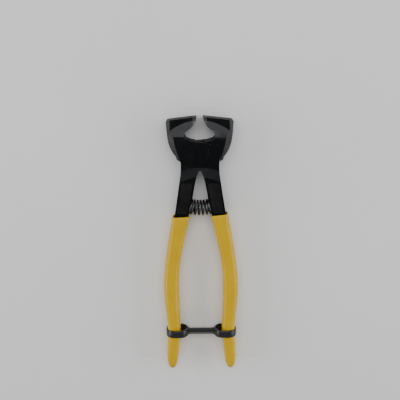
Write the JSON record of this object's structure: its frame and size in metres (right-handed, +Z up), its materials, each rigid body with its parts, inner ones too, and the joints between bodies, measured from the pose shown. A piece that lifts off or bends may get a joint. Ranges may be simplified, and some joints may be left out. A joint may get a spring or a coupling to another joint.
{
  "type": "tile nippers",
  "caption": "Hand tile nippers with carbide-tipped lapped jaws, a pivot rivet, a return spring between the arms, dipped grips and a storage clip round the handles.",
  "frame": {"origin": "point of the pivot axis on the tool's back face, where it rests on a table: the rivet's lower head, flush with the joint", "axes": "+Z up along the pivot axis and out of the front face, +Y from the pivot towards the jaws, +X to the right seen from the front with the jaws up"},
  "size_m": [0.0578, 0.2, 0.0164],
  "materials": {
    "forged_steel": "black oxide on ground forged steel, glossy with an oil film",
    "carbide": "ground tungsten carbide, dark grey",
    "braze": "thin line of silver braze",
    "rivet_steel": "black steel ground flush with the joint",
    "spring_wire": "bright zinc-plated spring wire",
    "grip_vinyl": "dipped yellow vinyl, semi-gloss",
    "clip_plastic": "moulded black plastic"
  },
  "bodies": {
    "front_lever": {"front_half": "forged_steel", "front_carbide_tip": "carbide", "front_tip_braze": "braze", "pivot_rivet": "rivet_steel", "front_spring_peg": "rivet_steel", "right_grip": "grip_vinyl", "return_spring": "spring_wire"},
    "back_lever": {"back_half": "forged_steel", "back_carbide_tip": "carbide", "back_tip_braze": "braze", "back_spring_peg": "rivet_steel", "left_grip": "grip_vinyl"},
    "clip_right": {"clip_loop_right": "clip_plastic", "clip_strap": "clip_plastic"},
    "clip_left": {"clip_loop_left": "clip_plastic"}
  },
  "joints": [
    {"name": "jaw_pivot", "type": "hinge", "parent": "front_lever", "child": "back_lever", "pos_m": [0, 0, 0.0082], "axis": [0, 0, 1], "range_deg": [0, 6], "stiffness_Nm_per_rad": 5, "springref_deg": -8.02, "deforming": ["return_spring", "clip_strap"]},
    {"name": "clip_slide", "type": "slide", "parent": "front_lever", "child": "clip_right", "axis": [0.045, -0.999, 0], "range_m": [0, 0.035]},
    {"name": "clip_slide_left", "type": "slide", "parent": "back_lever", "child": "clip_left", "axis": [-0.045, -0.999, 0], "range_m": [0, 0.035]}
  ],
  "couplings": [
    {"joint": "clip_slide_left", "follows": "clip_slide", "ratio": 1}
  ]
}
